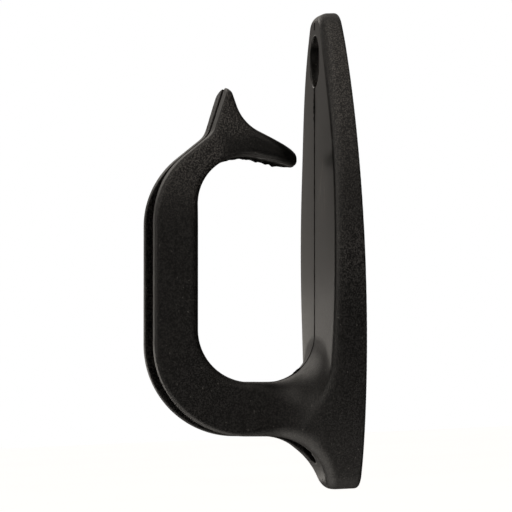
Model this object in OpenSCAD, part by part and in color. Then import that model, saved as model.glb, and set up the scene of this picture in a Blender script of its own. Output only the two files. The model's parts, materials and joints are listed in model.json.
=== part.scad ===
// Wall and mast hook for rope, a small boat fitting moulded in black nylon.
// A lens-shaped back plate carries a channel-section arm that runs out, up and back in again,
// ending in an upright horn and in a prong that nearly closes the throat.
// The moulding is two mirrored halves that meet on the middle plane, with pegs in sockets.
// A flanged metal bush sits at the bottom of each screw recess.
//
// Frame: the origin is the middle of the flat back face. +Z is up and +Y points into the wall.
// The moulding leans: its front face and its arm are tipped from the back face by `lean`.
// Side outlines are drawn as [u, v, corner radius], u out from the wall and v up along the lean.

/* [Back plate] */
// Height of the plate, end to end
plate_h = 90; // [80:1:100]
// Half of the plate's greatest width
plate_half_w = 19.9; // [18:0.1:22]
// Radius of the plate's two curved sides
plate_side_r = 75; // [68:1:80]
// Thickness at the middle of the plate
plate_t = 6.05; // [5.5:0.05:7]
// Angle between the back face and the front face, in degrees
lean = 2.5; // [0:0.1:4]
// Radius of the plate's front edge
plate_edge_r = 1.6; // [0.5:0.1:2]
// Radius of the corners at the plate's flat ends
plate_end_r = 2; // [0.5:0.1:2.5]

/* [Arm] */
// Width of the arm
arm_w = 16; // [14:0.5:18]
// Width of the horn and of the prong
tip_w = 13.2; // [11:0.1:14]
// Reach of the arm's outer face
reach = 37.7; // [36:0.1:40]
// Thickness of the upright length of the arm
upright_t = 8.35; // [8:0.05:9]
// Top of the lower arm, where the rope rests
seat_v = -24.95; // [-27:0.05:-24]
// Thickness of the lower arm
lower_t = 10.2; // [9:0.05:10.5]
// Radius of the arm's outer bottom corner
elbow_r = 17.3; // [14:0.1:18]
// Radius of the throat's outer bottom corner
throat_r = 9.8; // [8:0.1:11]
// Radius of the throat where it meets the plate
heel_r = 9; // [7:0.1:10]
// Radius under the arm's root
root_r = 10.9; // [10:0.1:12]
// Radius of the fillets between the arm's sides and the plate
flank_r = 7.5; // [2:0.5:8]
// Radius of the arm's outer shoulder
shoulder_r = 16.3; // [12:0.1:17]
// Radius of the top of the throat
crook_r = 9.3; // [7:0.1:9.5]
// Distance from the back face to the prong's tip
prong_tip_u = 9.8; // [9.5:0.1:11]
// Distance from the back face to where the prong starts to narrow
prong_root_u = 17.5; // [14:0.5:20]
// Bluntness of the prong's tip seen from above; 2 makes it a half ellipse
prong_power = 2.8; // [2:0.1:4]

/* [Channel] */
// Width of the channel in the arm's outer face
channel_w = 9.8; // [8:0.1:10]
// Width of the channel where it runs up the horn
groove_w = 2.4; // [1.5:0.1:3]
// Depth of the channel in the upright length of the arm
channel_d = 5.3; // [4:0.1:5.5]
// Thickness of the web above the channel in the lower arm
web_t = 3.6; // [3:0.1:5]

/* [Screws] */
// Height of the upper screw
upper_z = 36; // [35:0.5:37]
// Height of the lower screw
lower_z = -35; // [-36:0.5:-34]
// Radius of the screw recesses
recess_r = 4.9; // [4.6:0.1:5]
// Distance from the back face to the bottom of each recess
recess_floor = 2; // [1.5:0.1:2.4]
// Radius of the bore through each bush
bore_r = 2.3; // [2:0.05:2.5]
// Outer radius of each bush's sleeve
sleeve_r = 3.2; // [3:0.1:3.4]
// Radius of each bush's flange
flange_r = 4.7; // [4.2:0.1:4.8]
// Thickness of each bush's flange
flange_t = 0.9; // [0.7:0.1:1.2]

/* [Pegs] */
// Length of the pegs that line the halves up
peg_l = 2.5; // [2:0.1:3]
// Space round each peg
peg_gap = 0.05; // [0.02:0.01:0.1]
// Extra depth of each socket
socket_extra = 0.3; // [0.2:0.1:0.5]

/* [Hidden] */

$fn = 96;
far = 60;             // beyond the whole part, for cuts and clipping
side_cx = plate_side_r - plate_half_w;
end_half_w = sqrt(pow(plate_side_r, 2) - pow(plate_h / 2, 2)) - side_cx;
end_slope = (plate_h / 2) / (end_half_w + side_cx);
upright_u = reach - upright_t;
underside_v = seat_v - lower_t;
front_edge_steps = 6;
arc_step = 9;         // degrees between the points of an outline's arcs
prong_steps = 24;
prong_low_v = 8;      // between the throat's middle and the prong
prong_clear_u = 7;    // in the gap between the plate's front face and the prong's tip

// Outline of the whole part seen from the side
SIDE = [
    [-5, -far, 0],
    [4.3, -far, 0],
    [4.3, underside_v, root_r],
    [reach, underside_v, elbow_r],
    [reach, 12.6, shoulder_r],
    [26.4, 21.7, 4],
    [23.3, 31.4, 0.4],
    [20.65, 23.75, 8.4],
    [prong_tip_u, 18.2, 1.5],
    [prong_tip_u, 15.4, 1.1],
    [upright_u, 19.9, crook_r],
    [upright_u, seat_v, throat_r],
    [plate_t, seat_v, heel_r],
    [plate_t, far, 0],
    [-5, far, 0]
];

// Outline of the channel seen from the side, from its floor outwards
CHANNEL = [
    [7.5, -far, 0],
    [7.5, seat_v - web_t, 3],
    [reach - channel_d, seat_v - web_t, 11.5],
    [reach - channel_d, 13.8, 10],
    [25.4, 19.9, 4],
    [21.1, 33, 0],
    [far, 33, 0],
    [far, -far, 0]
];

// Half widths up the arm, as [half width, v]: the upright, then the taper, then the horn and prong
ARM_TAPER = [[arm_w / 2, -far], [arm_w / 2, 6], [tip_w / 2, 18], [tip_w / 2, far]];
CHANNEL_TAPER = [[channel_w / 2, -far], [channel_w / 2, 7], [groove_w / 2, 18], [groove_w / 2, far]];

// Plan of the flared root, as [x, u, corner radius]
ROOT_PLAN = let (w = arm_w / 2 + flank_r + 1, end_u = plate_t + flank_r + 1) [
    [-w, 0, 0],
    [-w, plate_t, 0],
    [-arm_w / 2, plate_t, flank_r],
    [-arm_w / 2, end_u, 0],
    [arm_w / 2, end_u, 0],
    [arm_w / 2, plate_t, flank_r],
    [w, plate_t, 0],
    [w, 0, 0]
];

// Plan of the prong, as [x, u]
PRONG_PLAN = [for (i = [0 : prong_steps])
    let (a = 180 * i / prong_steps)
    [
        tip_w / 2 * sign(cos(a)) * pow(abs(cos(a)), 2 / prong_power),
        prong_root_u - (prong_root_u - prong_tip_u) * pow(sin(a), 2 / prong_power)
    ]];

// Pegs on the middle plane, as [u, v, radius]
PEGS = [[3.4, 18, 1.3], [2.8, -12, 1.3], [30.9, -4, 0.9], [18, -26.9, 1], [22.3, 20.6, 1.2]];

function unit(p) = p / norm(p);
function flat(p) = [p.x, p.y];

// Points of the arc that rounds corner b, which lies between a and c
function corner_arc(a, b, c) =
    let (
        p = unit(flat(a) - flat(b)),
        q = unit(flat(c) - flat(b)),
        half = acos(p * q) / 2,
        centre = flat(b) + unit(p + q) * b.z / sin(half),
        first = flat(b) + p * b.z / tan(half) - centre,
        last = flat(b) + q * b.z / tan(half) - centre,
        start = atan2(first.y, first.x),
        turn = atan2(first.x * last.y - first.y * last.x, first * last),
        steps = max(2, ceil(abs(turn) / arc_step))
    )
    [for (i = [0 : steps]) centre + b.z * [cos(start + turn * i / steps), sin(start + turn * i / steps)]];

// Closed outline with each corner rounded by its own radius
function rounded(corners) =
    let (n = len(corners))
    [for (i = [0 : n - 1])
        each (corners[i].z > 0
            ? corner_arc(corners[(i + n - 1) % n], corners[i], corners[(i + 1) % n])
            : [flat(corners[i])])];

// Outline with a half width for each height, mirrored about the middle
function mirrored(half) =
    concat([for (p = half) p], [for (i = [len(half) - 1 : -1 : 0]) [-half[i].x, half[i].y]]);

// Puts an outline drawn as [u, v] across the part
module across(width) {
    rotate([90, 0, -90])
        linear_extrude(width, center = true)
            children();
}

// Puts an outline drawn as [x, v] along the way out from the wall
module outwards(length) {
    translate([0, 5, 0])
        rotate([90, 0, 0])
            linear_extrude(length + 5)
                children();
}

// Puts an outline drawn as [x, u] up the part, from `from_v` to `to_v`
module upwards(from_v, to_v) {
    translate([0, 0, from_v])
        linear_extrude(to_v - from_v)
            mirror([0, 1])
                children();
}

module leaned() {
    rotate([-lean, 0, 0]) children();
}

// One of the two discs whose overlap is the plate, with its front edge rounded
module plate_disc(side) {
    translate([side * side_cx, 0, 0])
        rotate([90, 0, 0])
            rotate_extrude($fn = 360)
                polygon(concat(
                    [[0, -5], [plate_side_r, -5]],
                    [for (i = [0 : front_edge_steps])
                        let (a = 90 * i / front_edge_steps)
                        [plate_side_r - plate_edge_r * (1 - cos(a)), plate_t - plate_edge_r * (1 - sin(a))]],
                    [[0, plate_t]]
                ));
}

// The space between the plate's two curved sides, carried out over the arm
module between_sides() {
    intersection_for (side = [-1, 1])
        translate([side * side_cx, 5, 0])
            rotate([90, 0, 0])
                cylinder(r = plate_side_r, h = far + 5, $fn = 360);
}

module plate_shape() {
    intersection() {
        plate_disc(-1);
        plate_disc(1);
    }
}

module arm_shape() {
    intersection() {
        union() {
            outwards(far) polygon(mirrored(ARM_TAPER));
            upwards(-far, seat_v + heel_r) polygon(rounded(ROOT_PLAN));
        }
        between_sides();
    }
}

// What the prong loses where its sides curve in towards its tip
module prong_corners() {
    upwards(prong_low_v, far)
        difference() {
            translate([-arm_w / 2, prong_clear_u]) square([arm_w, prong_root_u - prong_clear_u]);
            polygon(PRONG_PLAN);
        }
}

module channel() {
    intersection() {
        across(arm_w + 4) polygon(rounded(CHANNEL));
        outwards(far) polygon(mirrored(CHANNEL_TAPER));
    }
}

// Straight hole along the way in, from `from_u` to `to_u` out from the back face
module hole(z, r, from_u, to_u) {
    translate([0, -from_u, z])
        rotate([90, 0, 0])
            cylinder(r = r, h = to_u - from_u);
}

// Clips the moulding at the back face and at the plate's two flat ends
module plate_limits() {
    edge_v = plate_h / 2 - (plate_half_w + 5 - end_half_w) / end_slope;
    rotate([90, 0, 0])
        linear_extrude(far)
            polygon(rounded([
                [plate_half_w + 5, -edge_v, 0],
                [plate_half_w + 5, edge_v, 0],
                [end_half_w, plate_h / 2, plate_end_r],
                [-end_half_w, plate_h / 2, plate_end_r],
                [-plate_half_w - 5, edge_v, 0],
                [-plate_half_w - 5, -edge_v, 0],
                [-end_half_w, -plate_h / 2, plate_end_r],
                [end_half_w, -plate_h / 2, plate_end_r]
            ]));
}

module moulding() {
    difference() {
        intersection() {
            leaned()
                difference() {
                    intersection() {
                        across(2 * plate_half_w + 4) polygon(rounded(SIDE));
                        union() {
                            plate_shape();
                            arm_shape();
                        }
                    }
                    channel();
                    prong_corners();
                }
            plate_limits();
        }
        hole(upper_z, recess_r, recess_floor, 14);
        hole(lower_z, recess_r, recess_floor, far);
        hole(upper_z, sleeve_r + peg_gap, -1, far / 6);
        hole(lower_z, sleeve_r + peg_gap, -1, far / 6);
    }
}

// Everything on one side of the middle plane
module half_space(side) {
    translate([side * far / 2, 0, 0]) cube([far, 2 * far, 2 * far], center = true);
}

// Row of pegs that stand out of the middle plane towards +X
module pegs(gap, extra) {
    leaned()
        for (p = PEGS)
            translate([-0.5, -p.x, p.y])
                rotate([0, 90, 0])
                    cylinder(r = p.z + gap, h = peg_l + 0.5 + extra);
}

module left_half() {
    color([0.09, 0.09, 0.09])
        union() {
            intersection() {
                moulding();
                half_space(-1);
            }
            pegs(0, 0);
        }
}

module right_half() {
    color([0.13, 0.13, 0.13])
        difference() {
            intersection() {
                moulding();
                half_space(1);
            }
            pegs(peg_gap, socket_extra);
        }
}

// Flanged bush that takes the screw's clamping load
module screw_bush(z) {
    color([0.75, 0.76, 0.78])
        difference() {
            union() {
                hole(z, sleeve_r, 0, recess_floor + flange_t / 2);
                hole(z, flange_r, recess_floor, recess_floor + flange_t);
            }
            hole(z, bore_r, -1, recess_floor + flange_t + 1);
        }
}

module upper_screw_bush() {
    screw_bush(upper_z);
}

module lower_screw_bush() {
    screw_bush(lower_z);
}

left_half();
right_half();
upper_screw_bush();
lower_screw_bush();
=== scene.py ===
"""Visual model of the moulded rope hook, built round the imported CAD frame.

The nylon moulding is a signed distance in millimetres, and each half is meshed from it, so every
fillet is a real surface. Side outlines are in (u, v): u is out from the wall, square to the plate's
leaning front face, and v is up along that face.
"""
import json
import math

import bmesh
import bpy
import numpy as np
from mathutils import Matrix, Vector

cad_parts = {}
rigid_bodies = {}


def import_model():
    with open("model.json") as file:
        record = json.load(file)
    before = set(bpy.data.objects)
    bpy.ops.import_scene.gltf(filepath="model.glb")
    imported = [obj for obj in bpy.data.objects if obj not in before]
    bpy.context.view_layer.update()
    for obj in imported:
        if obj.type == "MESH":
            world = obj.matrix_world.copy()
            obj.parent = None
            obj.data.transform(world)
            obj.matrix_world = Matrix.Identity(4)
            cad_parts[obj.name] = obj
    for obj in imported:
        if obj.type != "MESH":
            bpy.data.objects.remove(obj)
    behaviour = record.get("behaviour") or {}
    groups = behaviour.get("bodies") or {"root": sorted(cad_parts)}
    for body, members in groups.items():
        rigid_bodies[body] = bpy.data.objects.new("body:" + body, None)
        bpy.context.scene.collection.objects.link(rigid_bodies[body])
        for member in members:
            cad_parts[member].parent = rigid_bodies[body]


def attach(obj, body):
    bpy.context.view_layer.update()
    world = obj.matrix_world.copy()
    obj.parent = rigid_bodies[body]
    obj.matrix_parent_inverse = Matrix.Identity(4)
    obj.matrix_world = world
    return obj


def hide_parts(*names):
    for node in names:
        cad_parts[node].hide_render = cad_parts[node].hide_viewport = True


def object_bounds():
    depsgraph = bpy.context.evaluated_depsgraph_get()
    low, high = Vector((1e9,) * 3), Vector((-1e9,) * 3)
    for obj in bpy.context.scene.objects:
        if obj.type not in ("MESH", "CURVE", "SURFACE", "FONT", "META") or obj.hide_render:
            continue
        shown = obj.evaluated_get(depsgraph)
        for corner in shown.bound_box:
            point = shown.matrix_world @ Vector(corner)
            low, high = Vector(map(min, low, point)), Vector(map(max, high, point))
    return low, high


for leftover in list(bpy.data.objects):
    bpy.data.objects.remove(leftover)

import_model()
cad_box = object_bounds()
cad_low, cad_high = [[c * 1000 for c in corner] for corner in cad_box]   # millimetres

MM = 0.001

# ---------------------------------------------------------------- sizes, in millimetres
# A name that ends in _FADE is a pair for smooth(): no effect at its first number, all at its second.
FAR = 60.0                   # beyond the whole part

PLATE_TOP = cad_high[2]
PLATE_HALF_W = cad_high[0]
LEAN = math.radians(2.5)     # the front face leans back by this
PLATE_T = 6.05               # the front face's u
PLATE_SIDE_R = 75.0          # the two long sides of the plate's outline
PLATE_CROWN = 0.64           # the front face falls away by this from the seam to the plate's sides
CROWN_LEAST_W = 6            # half width that the crown is spread over where the plate is narrower
CROWN_FADE = (40, 14)        # by the height above or below the middle
PLATE_EDGE_R = 2.0
BACK_EDGE_R = 0.4
END_CORNER_R = 2.5           # corners of the plate's outline at its two flat ends
END_BACK_R = 0.8             # back edges of the flat ends
END_FADE = (38, 44)          # by the height above or below the middle

REACH = 37.7                 # the arm's outer face
UPRIGHT_U = 29.35            # the throat's outer side
SEAT_V = -24.95              # the throat's bottom
UNDERSIDE_V = -35.15
CHANNEL_FLOOR_U = 32.4
CHANNEL_FLOOR_V = -28.55
ARM_HALF_W = 8.0
TIP_HALF_W = 6.6
TAPER_FADE = (4, 20)         # the arm narrows over this stretch of v
CHANNEL_HALF_W = 4.9
GROOVE_HALF_W = 1.2
GROOVE_FADE = (6, 18)        # the channel closes to a groove over this stretch of v

SCREW_Z = (36.0, -35.0)
RECESS_R = 4.9
RECESS_FLOOR = 2.0
RECESS_OUT = (14.0, FAR)     # how far out each recess cuts. The lower one opens into the channel
RECESS_LIP_R = 0.25
SLEEVE_HOLE_R = 3.25

HORN_TOP_V = 30.85           # top of the horn, which arches across its width
HORN_ARCH_R = 17.0
HORN_EDGE_R = 0.8

LIP_R = 0.9                  # edges of the arm's outer face
ROOT_LIP_R = 2.8             # the same edges under the arm's root
ROOT_U_FADE = (22, 12)
ROOT_V_FADE = (-29, -34)
HORN_LIP_R = 0.4             # the same edges at the top of the horn
HORN_FADE = (23, 28)
CHANNEL_CORNER_R = 0.6       # between the channel's floor and its walls
CHANNEL_LIP_R = 0.45         # edges of the channel's mouth
THROAT_EDGE_R = 1.6          # edges of the arm where rope runs
HEEL_EDGE_R = 6.0            # the same edges where the throat meets the plate
HEEL_U_FADE = (20, 8)
HEEL_V_FADE = (-8, -14)

HEEL_R = 9.0                 # fillet between the lower arm and the plate, in the throat
FLANK_R = 10.0               # the same fillet at the arm's sides
HEEL_X_FADE = (11, 5)        # by the distance from the seam
FILLET_FADE = (-3, -11)      # both fillets fade in over this stretch of v
LEAST_FILLET_R = 0.01

SINK_DEPTH = 0.05            # hollow down the side of the upright arm, beside the channel's floor
SINK_OUT = 1.1
SINK_HALF_W = 0.35
SINK_LOW_FADE = (-17, -9)
SINK_HIGH_FADE = (11, 5)

PRONG_TIP_U = 9.3
PRONG_ROOT_U = 17.5          # where the prong starts to narrow towards its tip
PRONG_LEAST_V = 8            # everything near the plate above this is the prong
TONGUE_POWER = 2.8           # 2 would make the prong's plan a half ellipse

# Outline from the plate's lower end, round the arm's outer face and up the horn: (u, v, corner radius)
OUTER = [
    (4.3, -FAR, 0), (4.3, UNDERSIDE_V, 10.9), (REACH, UNDERSIDE_V, 17.3), (REACH, 12.6, 16.3),
    (26.4, 21.7, 4), (14.1, FAR, 0),
]
# Outline down the other side of the horn, round the prong and the throat to the plate
INNER = [
    (33.5, FAR, 0), (20.65, 23.75, 8.4), (PRONG_TIP_U, 18.15, 1.6), (PRONG_TIP_U, 15.4, 1.1),
    (UPRIGHT_U, 19.9, 9.3), (UPRIGHT_U, SEAT_V, 9.8), (-FAR, SEAT_V, 0),
]
# The channel's floor, from the plate's lower end to the horn
CHANNEL = [
    (7.5, -FAR, 0), (7.5, CHANNEL_FLOOR_V, 3), (CHANNEL_FLOOR_U, CHANNEL_FLOOR_V, 11.5),
    (CHANNEL_FLOOR_U, 13.8, 10), (25.5, 19.8, 4), (12.3, FAR, 0),
]

VOXEL = 0.25                 # grid step of the moulding's mesh
SKIN = 3                     # grid steps of empty space kept round the moulding
SEAM_STEPS = 1.5             # the grid starts this far past the seam, so a layer of points falls on it
SNAP_STEPS = 0.2             # points this near the seam are put on it
NEWTON_STEPS = 3
LEAST_SLOPE = 0.25           # keeps a Newton step short where the distance is flat
FLOAT = np.float64


# ---------------------------------------------------------------- side outlines
def corner(a, b, c):
    """The rounded corner b between a and c: centre, radius, start angle and turn, and its two ends."""
    a, b, c, r = Vector(a[:2]), Vector(b[:2]), Vector(c[:2]), b[2]
    back, on = (a - b).normalized(), (c - b).normalized()
    half = back.angle(on) / 2
    centre = b + (back + on).normalized() * (r / math.sin(half))
    first = b + back * (r / math.tan(half))
    last = b + on * (r / math.tan(half))
    start = math.atan2(first.y - centre.y, first.x - centre.x)
    turn = math.atan2((first - centre).cross(last - centre), (first - centre).dot(last - centre))
    return centre, r, start, turn, first, last


def path(corners):
    """An open outline as lines and arcs, in order. Its inside is on the left of its direction."""
    pieces, here = [], Vector(corners[0][:2])
    for a, b, c in zip(corners, corners[1:], corners[2:]):
        if b[2] == 0:
            pieces.append(("line", here, Vector(b[:2])))
            here = Vector(b[:2])
            continue
        centre, r, start, turn, first, last = corner(a, b, c)
        pieces.append(("line", here, first))
        pieces.append(("arc", centre, r, start, turn))
        here = last
    pieces.append(("line", here, Vector(corners[-1][:2])))
    return pieces


def path_distance(pieces, u, v):
    """Signed distance to an outline, negative on its inside."""
    best = np.full(np.shape(u), np.inf)
    for piece in pieces:
        if piece[0] == "line":
            a, b = piece[1], piece[2]
            along = b - a
            du, dv = u - a.x, v - a.y
            t = np.clip((du * along.x + dv * along.y) / along.length_squared, 0, 1)
            size = np.hypot(du - t * along.x, dv - t * along.y)
            signed = np.where(along.x * dv - along.y * du > 0, -size, size)
        else:
            centre, r, start, turn = piece[1:]
            du, dv = u - centre.x, v - centre.y
            angle = np.arctan2(dv, du) - (start + turn / 2)
            within = np.abs((angle + math.pi) % (2 * math.pi) - math.pi) <= abs(turn) / 2
            signed = np.where(within, (np.hypot(du, dv) - r) * math.copysign(1, turn), np.inf)
        best = np.where(np.abs(signed) < np.abs(best), signed, best)
    return best


SIDES = {"outer": path(OUTER), "inner": path(INNER), "channel": path(CHANNEL[::-1])}


def trace(corners, step=0.3):
    """Points about step apart along an outline, as (u, v)."""
    found = []
    for piece in path(corners):
        if piece[0] == "line":
            a, b = piece[1], piece[2]
            count = max(1, int((b - a).length / step))
            found += [a.lerp(b, n / count) for n in range(count)]
        else:
            centre, r, start, turn = piece[1:]
            count = max(2, int(abs(turn) * r / step))
            angles = [start + turn * n / count for n in range(count)]
            found += [centre + r * Vector((math.cos(a), math.sin(a))) for a in angles]
    return np.array(found)


# ---------------------------------------------------------------- the moulding as a signed distance
def smooth(fade, x):
    """0 where x is at or before the fade's first number, 1 from its second, and smooth between."""
    start, end = fade
    t = np.clip((x - start) / (end - start), 0, 1)
    return t * t * (3 - 2 * t)


def between(a, b, share):
    """a where share is 0 and b where it is 1."""
    return a + (b - a) * share


def both(a, b, r):
    """Intersection with a round edge."""
    return np.minimum(-r, np.maximum(a, b)) + np.hypot(np.maximum(r + a, 0), np.maximum(r + b, 0))


def either(a, b, r):
    """Union with a round fillet."""
    return np.maximum(r, np.minimum(a, b)) - np.hypot(np.maximum(r - a, 0), np.maximum(r - b, 0))


def leaned(y, z):
    """(u, v) of a place in the row frame."""
    return -y * math.cos(LEAN) + z * math.sin(LEAN), y * math.sin(LEAN) + z * math.cos(LEAN)


def side_distances(u, v):
    """The distances that depend only on the side view."""
    return {name: path_distance(outline, u, v) for name, outline in SIDES.items()}


def arm_side(ax, u, v):
    """Distance to the arm's side, which narrows up the arm and curves in round the prong's tip."""
    half_w = between(ARM_HALF_W, TIP_HALF_W, smooth(TAPER_FADE, v))
    sink = SINK_DEPTH * np.exp(-np.square((u - CHANNEL_FLOOR_U - SINK_OUT) / SINK_HALF_W))
    sink = sink * smooth(SINK_LOW_FADE, v) * smooth(SINK_HIGH_FADE, v)
    along = np.clip((PRONG_ROOT_U - u) / (PRONG_ROOT_U - PRONG_TIP_U), 0, 2)
    along = np.where(v > PRONG_LEAST_V, along, 0)
    powers = np.power(along, TONGUE_POWER) + np.power(ax / half_w, TONGUE_POWER)
    return half_w * (np.power(powers, 1 / TONGUE_POWER) - 1) + sink


def channel_distance(from_side, ax, v):
    """Signed distance to the arm's channel. from_side is the distance seen from the side."""
    half_w = between(CHANNEL_HALF_W, GROOVE_HALF_W, smooth(GROOVE_FADE, v))
    return both(from_side, ax - half_w, CHANNEL_CORNER_R)


def moulding(x, y, z, sides=None):
    """Signed distance of the whole moulding. x, y, z are in the row frame, in millimetres."""
    u, v = leaned(y, z)
    sides = sides or side_distances(u, v)
    ax = np.abs(x)
    at_end = smooth(END_FADE, np.abs(z))

    heel = smooth(HEEL_U_FADE, u) * smooth(HEEL_V_FADE, v)
    arm = both(sides["inner"], arm_side(ax, u, v), between(THROAT_EDGE_R, HEEL_EDGE_R, heel))
    arm = both(arm, v - HORN_TOP_V + np.square(x) / (2 * HORN_ARCH_R), HORN_EDGE_R)

    plate_half_w = np.sqrt(np.maximum(PLATE_SIDE_R ** 2 - v * v, 1)) - PLATE_SIDE_R + PLATE_HALF_W
    crown = PLATE_CROWN * np.square(ax / np.maximum(plate_half_w, CROWN_LEAST_W))
    crown = crown * smooth(CROWN_FADE, np.abs(v))
    fillet_r = between(FLANK_R, HEEL_R, smooth(HEEL_X_FADE, ax)) * smooth(FILLET_FADE, v)
    body = either(u - PLATE_T + crown, arm, fillet_r + LEAST_FILLET_R)

    root = smooth(ROOT_U_FADE, u) * smooth(ROOT_V_FADE, v)
    lip_r = between(between(LIP_R, ROOT_LIP_R, root), HORN_LIP_R, smooth(HORN_FADE, v))
    body = both(body, sides["outer"], lip_r)
    lens = np.hypot(ax + PLATE_SIDE_R - PLATE_HALF_W, v) - PLATE_SIDE_R
    body = both(body, both(lens, np.abs(z) - PLATE_TOP, END_CORNER_R), PLATE_EDGE_R)
    body = both(body, -channel_distance(sides["channel"], ax, v), CHANNEL_LIP_R)

    for screw_z, out in zip(SCREW_Z, RECESS_OUT):
        off_axis = np.hypot(x, z - screw_z)
        recess = np.maximum(np.maximum(off_axis - RECESS_R, RECESS_FLOOR + y), -out - y)
        body = both(body, -recess, RECESS_LIP_R)
        body = np.maximum(body, SLEEVE_HOLE_R - off_axis - FAR * (y < -out))

    return both(body, y, between(BACK_EDGE_R, END_BACK_R, at_end))


def slope(x, y, z):
    """Gradient of the distance, by central differences."""
    h = 0.01
    return np.stack([
        moulding(x + h, y, z) - moulding(x - h, y, z),
        moulding(x, y + h, z) - moulding(x, y - h, z),
        moulding(x, y, z + h) - moulding(x, y, z - h),
    ], axis=-1) / (2 * h)


def settle(points):
    """Moves points onto the moulding's surface. Returns them with the surface's normals."""
    for _ in range(NEWTON_STEPS):
        g = slope(*points.T)
        step = moulding(*points.T) / np.maximum((g * g).sum(-1), LEAST_SLOPE)
        points = points - np.clip(step, -VOXEL, VOXEL)[:, None] * g
    normals = slope(*points.T)
    return points, normals / np.maximum(np.linalg.norm(normals, axis=-1, keepdims=True), 1e-6)


# ---------------------------------------------------------------- meshing
def placed(name, data):
    """A new object in the scene."""
    piece = bpy.data.objects.new(name, data)
    bpy.context.collection.objects.link(piece)
    return piece


def surface_net(field):
    """Vertices (in grid steps) and quads of the zero surface of a sampled distance."""
    inside = field < 0
    nx, ny, nz = field.shape
    cell = (nx - 1, ny - 1, nz - 1)
    count = np.zeros(cell, np.int32)
    total = np.zeros(cell + (3,), FLOAT)
    corners = [(i, j, k) for i in (0, 1) for j in (0, 1) for k in (0, 1)]

    def at_corner(i, j, k):
        return field[i:nx - 1 + i, j:ny - 1 + j, k:nz - 1 + k]

    for start in corners:
        for axis in range(3):
            if start[axis]:
                continue
            end = tuple(c + (n == axis) for n, c in enumerate(start))
            a = at_corner(*start)
            b = at_corner(*end)
            cross = (a < 0) != (b < 0)
            t = a[cross] / (a[cross] - b[cross])
            point = np.tile(np.array(start, FLOAT), (len(t), 1))
            point[:, axis] = t
            total[cross] += point
            count[cross] += 1
    used = count > 0
    index = np.full(cell, -1, np.int64)
    index[used] = np.arange(used.sum())
    verts = total[used] / count[used][:, None] + np.argwhere(used)

    quads = []
    for axis in range(3):
        one, two = [n for n in range(3) if n != axis]
        low = tuple(slice(0, -1) if n == axis else slice(1, -1) for n in range(3))
        high = tuple(slice(1, None) if n == axis else slice(1, -1) for n in range(3))
        change = inside[low] != inside[high]
        at = np.argwhere(change)
        at[:, one] += 1
        at[:, two] += 1
        ring = []
        for back_one, back_two in ((1, 1), (0, 1), (0, 0), (1, 0)):
            c = at.copy()
            c[:, one] -= back_one
            c[:, two] -= back_two
            ring.append(index[c[:, 0], c[:, 1], c[:, 2]])
        ring = np.stack(ring, axis=-1)
        outwards = inside[low][change] if axis != 1 else ~inside[low][change]
        ring[~outwards] = ring[~outwards][:, ::-1]
        quads.append(ring)
    return verts, np.concatenate(quads)


def moulding_surface():
    """The half of the moulding at X above 0: points in millimetres, normals and quads, open at X = 0."""
    empty = SKIN * VOXEL
    low = np.array([-SEAM_STEPS * VOXEL, cad_low[1] - empty, cad_low[2] - empty])
    high = np.array([cad_high[0] + empty, cad_high[1] + empty, cad_high[2] + empty])
    xs, ys, zs = (np.arange(a, b, VOXEL) for a, b in zip(low, high))
    y, z = np.meshgrid(ys, zs, indexing="ij")
    sides = {name: d[None] for name, d in side_distances(*leaned(y, z)).items()}
    verts, quads = surface_net(moulding(xs[:, None, None], y[None], z[None], sides))
    points, normals = settle(verts * VOXEL + low)
    middle = np.abs(points[:, 0]) < VOXEL * SNAP_STEPS
    points[middle, 0] = 0
    keep = (points[quads][:, :, 0] >= 0).all(axis=1)
    used, quads = np.unique(quads[keep], return_inverse=True)
    return points[used], normals[used], quads.reshape(-1, 4)


# ---------------------------------------------------------------- marks on the nylon, and painted light and shade
# Distances are in millimetres, and facing is a part of the surface's normal.
FACING_OUT_FADE = (0.75, 0.95)
FACING_SIDE_FADE = (0.5, 0.9)
ARM_LEAST_U = 10             # the arm's sides are out from here, and the plate's are nearer the wall

PLATE_U_FADE = (PLATE_T + HEEL_R, PLATE_T + 0.3)
GLOSS_LOSS = 0.6             # the plate's polish dulls towards the heel
GLOSS_LOSS_FADE = (-3, -17)
PRONG_POLISH = 0.8
PRONG_POLISH_FADE = (22, 17)
PRONG_CLEAR_U = 8            # clear of the plate

ARM_PAINTED_LIGHT = 0.55             # painted light on the sides of the horn, and down the outer side of the bend
HORN_PAINTED_LIGHT_FADE = (19.5, 23)
BEND_PAINTED_LIGHT_FADE = (23, 26)
HIGH_PAINTED_LIGHT = 0.5             # painted light on the plate's sides, growing towards the top
HIGH_PAINTED_LIGHT_FADE = (8, 30)
# a weaker band of painted light across the middle of the plate's sides
MIDDLE_PAINTED_LIGHT = 0.2
MIDDLE_PAINTED_LIGHT_DOWN_FADE = (24, -6)
MIDDLE_PAINTED_LIGHT_UP_FADE = (-14, 0)

WALL_FADE = (RECESS_R + 0.15, RECESS_R + 0.05)     # by the distance from the screw's axis
WALL_CLEAR = 0.1             # and from this far out from the recess floor
WALL_HIGHLIGHT_FADE = (2.6, 3.6)                       # painted highlights on each recess wall, by the height above or below the screw's axis
CHANNEL_SHADE_FADE = (0.3, 0.1)       # painted shade inside the channel, by the distance from the channel's walls

SCUFF_X = 8                  # one scuff, on the plate's face at X above 0
SCUFF_V = 11.5
SCUFF_W = 2.5
SCUFF_H = 4
SCUFF_FACING = 0.9
SCUFF_MOST_U = 9


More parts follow.
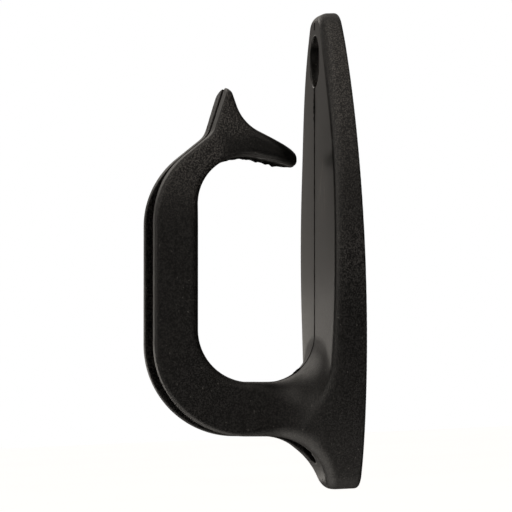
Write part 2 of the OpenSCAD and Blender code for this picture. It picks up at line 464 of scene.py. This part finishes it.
def marks(points, normals, side):
    """Values from 0 to 1 at each vertex, which the nylon's material reads."""
    u, v = leaned(points[:, 1], points[:, 2])
    facing_out = -normals[:, 1]
    gloss = 1 - GLOSS_LOSS * smooth(GLOSS_LOSS_FADE, v)
    polish = gloss * smooth(FACING_OUT_FADE, facing_out) * smooth(PLATE_U_FADE, u)
    prong = smooth(PRONG_POLISH_FADE, u) * (v > PRONG_LEAST_V) * (u > PRONG_CLEAR_U)
    polish = np.maximum(polish, PRONG_POLISH * prong)

    # Painted light: the grain's specks are made pale where light falls, on the horn, the bend and the
    # plate's sides.
    bend = smooth(TAPER_FADE, v) * smooth(BEND_PAINTED_LIGHT_FADE, u)
    arm_painted_light = ARM_PAINTED_LIGHT * np.maximum(smooth(HORN_PAINTED_LIGHT_FADE, v), bend)
    high = HIGH_PAINTED_LIGHT * smooth(HIGH_PAINTED_LIGHT_FADE, v)
    middle = MIDDLE_PAINTED_LIGHT * smooth(MIDDLE_PAINTED_LIGHT_DOWN_FADE, v) * smooth(MIDDLE_PAINTED_LIGHT_UP_FADE, v)
    painted_light = np.where(u > ARM_LEAST_U, arm_painted_light, high + middle)
    painted_light = painted_light * smooth(FACING_SIDE_FADE, normals[:, 0])

    for screw_z in SCREW_Z:
        up = points[:, 2] - screw_z
        wall = smooth(WALL_FADE, np.hypot(points[:, 0], up))
        wall = wall * (points[:, 1] < -RECESS_FLOOR - WALL_CLEAR)
        polish = np.maximum(polish, wall)
        # painted highlights at the top and bottom ends of each recess wall
        painted_light = np.maximum(painted_light, wall * smooth(WALL_HIGHLIGHT_FADE, np.abs(up)))

    # Painted shade: the nylon's shine is lowered inside the channel.
    to_channel = channel_distance(path_distance(SIDES["channel"], u, v), points[:, 0], v)
    channel_shade = smooth(CHANNEL_SHADE_FADE, np.abs(to_channel))
    across = (points[:, 0] - SCUFF_X) / SCUFF_W
    scuff = np.exp(-np.square(across) - np.square((v - SCUFF_V) / SCUFF_H))
    scuff *= (facing_out > SCUFF_FACING) * (u < SCUFF_MOST_U) * (side > 0)
    return {"polish": polish, "painted_light": painted_light, "channel_shade": channel_shade, "scuff": scuff}


def half_mesh(name, surface, side):
    """One closed half of the moulding. side is 1 for X above 0 and -1 for its mirror."""
    points, normals, quads = surface
    mirror = np.array([side, 1, 1])
    order = quads if side > 0 else quads[:, ::-1]
    mesh = bpy.data.meshes.new(name)
    mesh.from_pydata((points * mirror * MM).tolist(), [], order.tolist())
    attribute = mesh.attributes.new("skin_normal", "FLOAT_VECTOR", "POINT")
    attribute.data.foreach_set("vector", (normals * mirror).ravel())
    for kind, value in marks(points, normals, side).items():
        attribute = mesh.attributes.new(kind, "FLOAT", "POINT")
        attribute.data.foreach_set("value", value)

    work = bmesh.new()
    work.from_mesh(mesh)
    rim = [e for e in work.edges if e.is_boundary]
    skin_faces = len(work.faces)
    bmesh.ops.triangle_fill(work, use_beauty=False, use_dissolve=False, edges=rim,
                            normal=Vector((-side, 0, 0)))
    work.to_mesh(mesh)
    work.free()

    skin = np.empty(len(mesh.vertices) * 3)
    mesh.attributes["skin_normal"].data.foreach_get("vector", skin)
    corner_vertex = np.empty(len(mesh.loops), np.int32)
    mesh.loops.foreach_get("vertex_index", corner_vertex)
    loop_normals = skin.reshape(-1, 3)[corner_vertex]
    loop_normals[mesh.polygons[skin_faces].loop_start:] = (-side, 0, 0)
    mesh.attributes.remove(mesh.attributes["skin_normal"])
    mesh.polygons.foreach_set("use_smooth", np.ones(len(mesh.polygons), bool))
    mesh.normals_split_custom_set(loop_normals.tolist())
    return placed(name, mesh)


# ---------------------------------------------------------------- the bushes
SLEEVE_R = 3.2
BORE_R = 2.3
FLANGE_R = 4.7
FLANGE_TOP = RECESS_FLOOR + 0.9
BREAK = 0.15                 # broken edges of the turned bushes
RIM_BREAK = 0.25
BACK_CHAMFER = 0.3           # at the two ends of the bore
FRONT_CHAMFER = 0.5
BUSH = [
    (BORE_R, BACK_CHAMFER), (BORE_R + BACK_CHAMFER, 0), (SLEEVE_R - BREAK, 0), (SLEEVE_R, BREAK),
    (SLEEVE_R, RECESS_FLOOR), (FLANGE_R - BREAK, RECESS_FLOOR), (FLANGE_R, RECESS_FLOOR + BREAK),
    (FLANGE_R, FLANGE_TOP - RIM_BREAK), (FLANGE_R - RIM_BREAK, FLANGE_TOP),
    (BORE_R + FRONT_CHAMFER, FLANGE_TOP), (BORE_R, FLANGE_TOP - FRONT_CHAMFER),
]
BUSH_SEGMENTS = 96
SHARP_FROM = math.radians(40)


def revolved(name, profile, z):
    """A ring turned about a screw's axis.

    profile is (radius, distance out from the back face), in millimetres.
    """
    work = bmesh.new()
    rings = []
    for n in range(BUSH_SEGMENTS):
        a = 2 * math.pi * n / BUSH_SEGMENTS
        ring = [Vector((r * math.cos(a), -out, z + r * math.sin(a))) * MM for r, out in profile]
        rings.append([work.verts.new(point) for point in ring])
    for here, there in zip(rings, rings[1:] + rings[:1]):
        for i in range(len(profile)):
            j = (i + 1) % len(profile)
            work.faces.new((here[i], here[j], there[j], there[i]))
    bmesh.ops.recalc_face_normals(work, faces=work.faces)
    mesh = bpy.data.meshes.new(name)
    work.to_mesh(mesh)
    work.free()
    mesh.polygons.foreach_set("use_smooth", np.ones(len(mesh.polygons), bool))
    mesh.set_sharp_from_angle(angle=SHARP_FROM)
    return placed(name, mesh)


# ---------------------------------------------------------------- the flash along the seam
FIN_ROOT = 0.13              # half width of the flash at its root and at its crest
FIN_CREST = 0.035
FIN_SUNK = 0.12              # the flash starts this deep in the moulding
TOP_FLASH = 0.1              # height of the flash on the plate above the upper recess
FINE_FLASH = 0.07            # and below it, down the plate and round the throat
CHANNEL_FLASH = 0.06
WAVER = 0.05                 # uneven part, added to the last two
TORN_PLATE = 0.16            # torn flash on the plate, just below the upper recess
TORN_PLATE_FADE = (21, 27)
TORN_PRONG = 0.22            # torn flash under the prong: its least height, and its uneven part
TORN_PRONG_WAVER = 0.4
TORN_PRONG_FADE = (11, 13)
TORN_BEND_FADE = (25.5, 21)
BURR = 0.5                   # one burr at the bottom of the throat
BURR_U = 9.6
BURR_W = 0.9
BURR_MOST_V = -15
HEEL_TOP = SEAT_V + HEEL_R + 1
OVERLAP = 1                  # the flash round the throat runs on this far up the plate
PLATE_TRACKS = [(43.2, 41.4), (30.9, HEEL_TOP)]     # above and below the upper recess, by v
RIM_TOP = 29.5               # the flash stops below the top of the horn
CHANNEL_TOP = 28.5
CHANNEL_LEAST_U = 14


def ragged(count, seed, reach=3):
    """Uneven numbers from 0 to 1, softened over a few steps."""
    rough = np.random.default_rng(seed).random(count + 2 * reach)
    window = np.hanning(2 * reach + 3)
    soft = np.convolve(rough, window[1:-1] / window.sum(), "valid")
    return soft / soft.max()


def ribbon(work, track, height):
    """A thin fin on the middle plane along a track of (u, v), with its height at each point."""
    u, v = track.T
    y = v * math.sin(LEAN) - u * math.cos(LEAN)
    z = u * math.sin(LEAN) + v * math.cos(LEAN)
    root, out = settle(np.stack([0 * u, y, z], axis=-1))
    rings = []
    for side, rise in ((-FIN_ROOT, None), (-FIN_CREST, height), (FIN_CREST, height), (FIN_ROOT, None)):
        edge = root + out * (-FIN_SUNK if rise is None else rise[:, None])
        edge[:, 0] = side
        rings.append([work.verts.new(point * MM) for point in edge])
    for here, there in zip(rings, rings[1:] + rings[:1]):
        for n in range(len(track) - 1):
            work.faces.new((here[n], there[n], there[n + 1], here[n + 1]))
    work.faces.new([ring[0] for ring in rings])
    work.faces.new([ring[-1] for ring in rings])


def seam_flash():
    """The flash where the halves meet: fine on the plate, ragged under the prong and in the throat."""
    work = bmesh.new()
    above, below = [trace([(PLATE_T, top, 0), (PLATE_T, end, 0)]) for top, end in PLATE_TRACKS]
    ribbon(work, above, np.full(len(above), TOP_FLASH))

    torn = smooth(TORN_PLATE_FADE, below[:, 1]) * ragged(len(below), seed=4, reach=1) ** 2
    ribbon(work, below, FINE_FLASH + WAVER * ragged(len(below), seed=3) + TORN_PLATE * torn)

    rim = trace(INNER[:-1] + [(PLATE_T, SEAT_V, HEEL_R), (PLATE_T, HEEL_TOP + OVERLAP, 0)])
    rim = rim[np.argmax(rim[:, 1] < RIM_TOP):]
    u, v = rim.T
    under_prong = smooth(TORN_PRONG_FADE, u) * smooth(TORN_BEND_FADE, u)
    under_prong = under_prong * (np.gradient(u) > 0) * (v > PRONG_LEAST_V)
    burr = np.exp(-np.square((u - BURR_U) / BURR_W)) * (v < BURR_MOST_V)
    height = FINE_FLASH + WAVER * ragged(len(rim), seed=5)
    torn = TORN_PRONG + TORN_PRONG_WAVER * ragged(len(rim), seed=6, reach=1) ** 2
    height = height + under_prong * torn
    ribbon(work, rim, height + BURR * burr * ragged(len(rim), seed=8, reach=1))

    floor = trace(CHANNEL[::-1])
    floor = floor[(floor[:, 0] > CHANNEL_LEAST_U) & (floor[:, 1] < CHANNEL_TOP)]
    ribbon(work, floor, CHANNEL_FLASH + WAVER * ragged(len(floor), seed=9))
    bmesh.ops.recalc_face_normals(work, faces=work.faces)
    mesh = bpy.data.meshes.new("seam_flash")
    work.to_mesh(mesh)
    work.free()
    return placed("seam_flash", mesh)


# ---------------------------------------------------------------- materials
def material(name):
    made = bpy.data.materials.new(name)
    made.use_nodes = True
    nodes, links = made.node_tree.nodes, made.node_tree.links
    nodes.clear()
    shader = nodes.new("ShaderNodeBsdfPrincipled")
    output = nodes.new("ShaderNodeOutputMaterial")
    links.new(shader.outputs["BSDF"], output.inputs["Surface"])
    return made, nodes, links, shader


def feed(links, socket, value):
    """Sets a socket to a number or links it to another socket."""
    if isinstance(value, (int, float)):
        socket.default_value = value
    else:
        links.new(value, socket)


def noise(nodes, links, scale, detail=3.0, roughness=0.55, stretch=None):
    """Noise in the object's own space. scale is in waves per metre."""
    place = nodes.new("ShaderNodeTexCoord")
    source = place.outputs["Object"]
    if stretch:
        mapping = nodes.new("ShaderNodeMapping")
        mapping.inputs["Scale"].default_value = stretch
        links.new(source, mapping.inputs["Vector"])
        source = mapping.outputs["Vector"]
    made = nodes.new("ShaderNodeTexNoise")
    made.inputs["Scale"].default_value = scale
    made.inputs["Detail"].default_value = detail
    made.inputs["Roughness"].default_value = roughness
    links.new(source, made.inputs["Vector"])
    return made.outputs["Fac"]


def ramp(nodes, links, source, stops):
    """A colour for each value of source. stops are (value, colour)."""
    made = nodes.new("ShaderNodeValToRGB")
    made.color_ramp.elements[0].position = stops[0][0]
    made.color_ramp.elements[0].color = stops[0][1]
    made.color_ramp.elements[1].position = stops[-1][0]
    made.color_ramp.elements[1].color = stops[-1][1]
    for position, colour in stops[1:-1]:
        made.color_ramp.elements.new(position).color = colour
    links.new(source, made.inputs["Fac"])
    return made.outputs["Color"]


def grey(value, warm=0.0):
    return (value * (1 + warm), value, value * (1 - warm), 1)


def mask(nodes, links, source, span):
    """0 where source is at the span's first number and 1 at its second."""
    return ramp(nodes, links, source, [(span[0], grey(0)), (span[1], grey(1))])


def mixed(nodes, links, factor, low, high):
    """low where factor is 0 and high where it is 1. low and high are numbers or sockets."""
    made = nodes.new("ShaderNodeMix")
    made.data_type = "FLOAT"
    links.new(factor, made.inputs["Factor"])
    feed(links, made.inputs[2], low)
    feed(links, made.inputs[3], high)
    return made.outputs[0]


def worked_out(nodes, links, operation, first, second):
    """The result of a Math node. first and second are numbers or sockets."""
    made = nodes.new("ShaderNodeMath")
    made.operation = operation
    feed(links, made.inputs[0], first)
    feed(links, made.inputs[1], second)
    return made.outputs[0]


def vertex_value(nodes, name):
    made = nodes.new("ShaderNodeAttribute")
    made.attribute_name = name
    return made.outputs["Fac"]


def bumped(nodes, links, shader, height, distance, strength):
    """Relief on the shader's surface. distance is in metres, and strength is a number or a socket."""
    made = nodes.new("ShaderNodeBump")
    made.inputs["Distance"].default_value = distance
    feed(links, made.inputs["Strength"], strength)
    links.new(height, made.inputs["Height"])
    links.new(made.outputs["Normal"], shader.inputs["Normal"])


# Nylon. Noises are in waves per metre, spans are values of the noise, and tones are linear.
GRAIN = 3800
GRAIN_SPAN = (0.44, 0.64)
GRAIN_HEIGHT = 0.00008       # metres
GRAIN_BUMP = 0.8             # strength of that relief, and where the nylon is polished
POLISHED_BUMP = 0.12
POLISHED_SPECK = 0.35        # share of the grain's pale specks left where the nylon is polished
DEEP_TONE = 0.012            # the specks, and the specks where light is painted on the nylon
LIT_SPECK_TONE = 0.110
CLOUD = 900
ROUGHNESS = (0.40, 0.54)
POLISHED_ROUGHNESS = 0.285
DUST = 2300
DUST_SPAN = (0.80, 0.86)
DUST_TONE = 0.05
STREAKS = 1500
STREAK_STRETCH = (1, 1, 0.08)     # the scratches run up and down
STREAK_SPAN = (0.50, 0.66)
STREAK_TONE = 0.20
TINT = (("Red", 1.10), ("Green", 1.0), ("Blue", 0.90))
NYLON_IOR = 1.53
NYLON_SHINE = 0.5
# the channel's inside has this lower shine, as painted shade
CHANNEL_SHADED_SHINE = 0.08
TORN_SHINE = 0.12


def nylon_material(name, shine, shaded_shine=None):
    """Black nylon with a spark-eroded grain.

    Vertex values change it: it is smoother where "polish" is 1, it has pale specks of painted light
    and painted highlights where the painted-light value is 1, and it is streaked with pale scratches
    where "scuff" is 1. A second shine, if given, is its shine where the channel-shade value is 1,
    which paints shade inside the channel.
    """
    made, nodes, links, shader = material(name)
    shader.inputs["IOR"].default_value = NYLON_IOR
    shader.inputs["Specular IOR Level"].default_value = shine
    if shaded_shine is not None:
        by_place = mixed(nodes, links, vertex_value(nodes, "channel_shade"), shine, shaded_shine)
        links.new(by_place, shader.inputs["Specular IOR Level"])
    polish, painted_light = vertex_value(nodes, "polish"), vertex_value(nodes, "painted_light")

    grain = noise(nodes, links, GRAIN, detail=1, roughness=0.5)
    share = mixed(nodes, links, polish, 1.0, POLISHED_SPECK)
    specks = worked_out(nodes, links, "MULTIPLY", share, mask(nodes, links, grain, GRAIN_SPAN))
    deep = mixed(nodes, links, specks, 0.0, DEEP_TONE)
    pale = mixed(nodes, links, specks, 0.0, LIT_SPECK_TONE)
    clean = mixed(nodes, links, painted_light, deep, pale)
    dust = mask(nodes, links, noise(nodes, links, DUST, detail=0), DUST_SPAN)
    dusty = mixed(nodes, links, dust, clean, DUST_TONE)
    streaks = noise(nodes, links, STREAKS, detail=2, stretch=STREAK_STRETCH)
    streaks = mask(nodes, links, streaks, STREAK_SPAN)
    scratched = worked_out(nodes, links, "MULTIPLY", vertex_value(nodes, "scuff"), streaks)
    tone = mixed(nodes, links, scratched, dusty, STREAK_TONE)
    colour = nodes.new("ShaderNodeCombineColor")
    for channel, strength in TINT:
        scaled = worked_out(nodes, links, "MULTIPLY", tone, strength)
        links.new(scaled, colour.inputs[channel])
    links.new(colour.outputs["Color"], shader.inputs["Base Color"])

    rough = mixed(nodes, links, noise(nodes, links, CLOUD, detail=3), *ROUGHNESS)
    links.new(mixed(nodes, links, polish, rough, POLISHED_ROUGHNESS), shader.inputs["Roughness"])
    strength = mixed(nodes, links, polish, GRAIN_BUMP, POLISHED_BUMP)
    bumped(nodes, links, shader, grain, GRAIN_HEIGHT, strength)
    return made


SMEAR = 500                  # waves per metre
STEEL_TONES = [(0.3, grey(0.45, 0.02)), (0.7, grey(0.62, 0.02))]
STEEL_ROUGHNESS = (0.28, 0.42)
TURNING = 6000
TURNING_HEIGHT = 0.00001     # metres
TURNING_BUMP = 0.3


def stainless_material():
    made, nodes, links, shader = material("stainless")
    smear = noise(nodes, links, SMEAR, detail=3)
    links.new(ramp(nodes, links, smear, STEEL_TONES), shader.inputs["Base Color"])
    links.new(mixed(nodes, links, smear, *STEEL_ROUGHNESS), shader.inputs["Roughness"])
    shader.inputs["Metallic"].default_value = 1.0
    turning = noise(nodes, links, TURNING, detail=2)
    bumped(nodes, links, shader, turning, TURNING_HEIGHT, TURNING_BUMP)
    return made


# ---------------------------------------------------------------- the object
nylon = nylon_material("nylon", NYLON_SHINE, shaded_shine=CHANNEL_SHADED_SHINE)
torn_nylon = nylon_material("torn_nylon", TORN_SHINE)
stainless = stainless_material()
surface = moulding_surface()
for name, node, side in (("left_skin", "left_half", -1), ("right_skin", "right_half", 1)):
    half = half_mesh(name, surface, side)
    half.data.materials.append(nylon)
    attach(half, "root")
    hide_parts(node)

flash = seam_flash()
flash.data.materials.append(torn_nylon)
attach(flash, "root")

BUSHES = [("upper_bush", "upper_screw_bush"), ("lower_bush", "lower_screw_bush")]
for (name, node), z in zip(BUSHES, SCREW_Z):
    bush = revolved(name, BUSH, z)
    bush.data.materials.append(stainless)
    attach(bush, "root")
    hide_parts(node)


# ---------------------------------------------------------------- floor, light and camera, in metres
FLOOR_Z = cad_box[0][2] - 0.06        # the hook hangs on a wall, so it is shown clear of the floor
FLOOR_HALF_SIZE = 6.0
FLOOR_GLOW = 0.75
FLOOR_CLOUD = 3                       # waves per metre
FLOOR_TONES = [(0.3, grey(0.80)), (0.7, grey(0.84))]
# Brightness of the room by height: 0 is straight down, 0.5 the horizon and 1 straight up
ROOM = [
    (0.0, 0.5), (0.1, 0.2), (0.25, 0.06), (0.45, 0.10), (0.51, 0.17), (0.56, 0.20), (0.61, 0.12),
    (0.78, 0.45), (1.0, 0.42),
]
ROOM_WARMTH = 0.08
LAMP_COLOUR = (1.06, 1.0, 0.92)
# Name, place, size and brightness. The back card is what the plate's lower front face mirrors, and
# the low card stands under the arm, just above the floor.
LAMPS = [
    ("left_softbox", (0.0, -1.3, 0.25), (0.6, 0.8), 1.6),
    ("front_softbox", (0.7, -0.85, 0.75), (0.5, 0.5), 1.2),
    ("behind", (-1.1, -0.55, 0.6), (0.5, 0.5), 1.2),
    ("far_softbox", (-1.2, -0.12, 0.6), (0.6, 0.5), 0.6),
    ("back_card", (-0.6, -0.17, -0.062), (0.46, 0.11), 1.3),
    ("top", (0.35, -0.3, 1.4), (1.0, 1.0), 0.6),
    ("low_card", (-0.01, -0.06, -0.095), (0.1, 0.09), 1.0),
]
CAMERA_AZIMUTH = math.radians(80.45)
CAMERA_TILT = math.radians(-1.45)     # the camera looks slightly up
CAMERA_DISTANCE = 0.93
SENSOR_WIDTH = 36                     # millimetres, as the lens is
PICTURE_WIDTH = 512 * 0.0001895       # how much of the world the picture shows at the object
ORIGIN_RIGHT = 0.01703605             # the row's origin lies this far right of the picture's middle,
ORIGIN_UP = 0.00100435                # and this far above it


def floor_material():
    made, nodes, links, shader = material("pale_floor")
    tone = ramp(nodes, links, noise(nodes, links, FLOOR_CLOUD), FLOOR_TONES)
    links.new(tone, shader.inputs["Base Color"])
    shader.inputs["Roughness"].default_value = 0.9
    shader.inputs["Specular IOR Level"].default_value = 0.1
    shader.inputs["Emission Color"].default_value = (1, 1, 1, 1)
    shader.inputs["Emission Strength"].default_value = FLOOR_GLOW
    return made


def stage():
    """A pale floor, which the object doesn't mirror."""
    mesh = bpy.data.meshes.new("floor")
    half = FLOOR_HALF_SIZE
    corners = [(-half, -half, 0), (half, -half, 0), (half, half, 0), (-half, half, 0)]
    mesh.from_pydata(corners, [], [(0, 1, 2, 3)])
    mesh.materials.append(floor_material())
    floor = placed("floor", mesh)
    floor.location.z = FLOOR_Z
    floor.visible_glossy = False


def studio():
    """White to the camera, and to the object a dim room that darkens towards +Y and -Y."""
    world = bpy.data.worlds.new("studio")
    world.use_nodes = True
    nodes, links = world.node_tree.nodes, world.node_tree.links
    nodes.clear()
    place = nodes.new("ShaderNodeTexCoord")
    split = nodes.new("ShaderNodeSeparateXYZ")
    links.new(place.outputs["Generated"], split.inputs["Vector"])
    height = nodes.new("ShaderNodeMapRange")
    height.inputs["From Min"].default_value = -1
    links.new(split.outputs["Z"], height.inputs["Value"])
    room = nodes.new("ShaderNodeBackground")
    stops = [(level, grey(brightness, ROOM_WARMTH)) for level, brightness in ROOM]
    links.new(ramp(nodes, links, height.outputs["Result"], stops), room.inputs["Color"])
    square = worked_out(nodes, links, "POWER", split.outputs["Y"], 2)
    links.new(worked_out(nodes, links, "SUBTRACT", 1, square), room.inputs["Strength"])
    backdrop = nodes.new("ShaderNodeBackground")
    backdrop.inputs["Color"].default_value = (1, 1, 1, 1)
    ray = nodes.new("ShaderNodeLightPath")
    mix = nodes.new("ShaderNodeMixShader")
    output = nodes.new("ShaderNodeOutputWorld")
    links.new(ray.outputs["Is Camera Ray"], mix.inputs["Fac"])
    links.new(room.outputs[0], mix.inputs[1])
    links.new(backdrop.outputs[0], mix.inputs[2])
    links.new(mix.outputs[0], output.inputs["Surface"])
    bpy.context.scene.world = world
    bpy.context.scene.view_settings.view_transform = "Standard"


def softbox(name, place, size, brightness):
    """A flat lamp aimed at the object. brightness is its radiance, so it doesn't change with size."""
    lamp = bpy.data.lights.new(name, "AREA")
    lamp.shape = "RECTANGLE"
    lamp.size, lamp.size_y = size
    lamp.color = LAMP_COLOUR
    lamp.energy = brightness * math.pi * size[0] * size[1]
    piece = placed(name, lamp)
    piece.location = place
    piece.rotation_euler = (-Vector(place)).to_track_quat("-Z", "Y").to_euler()
    piece.visible_camera = False


def camera():
    """The photograph's camera. Its upright is the plate's leaning front face."""
    level = math.cos(CAMERA_TILT)
    back = Vector((math.sin(CAMERA_AZIMUTH) * level, -math.cos(CAMERA_AZIMUTH) * level,
                   math.sin(CAMERA_TILT)))
    leaning_up = Vector((0, math.sin(LEAN), math.cos(LEAN)))
    up = (leaning_up - back * leaning_up.dot(back)).normalized()
    right = up.cross(back)
    eye = bpy.data.cameras.new("camera")
    eye.sensor_width = SENSOR_WIDTH
    eye.lens = CAMERA_DISTANCE / PICTURE_WIDTH * SENSOR_WIDTH
    eye.clip_start = 0.05
    piece = placed("camera", eye)
    piece.location = back * CAMERA_DISTANCE - right * ORIGIN_RIGHT - up * ORIGIN_UP
    turn = [[right[n], up[n], back[n]] for n in range(3)]
    piece.rotation_euler = Matrix(turn).to_euler()
    bpy.context.scene.camera = piece


stage()
studio()
for name, place, size, brightness in LAMPS:
    softbox(name, place, size, brightness)
camera()
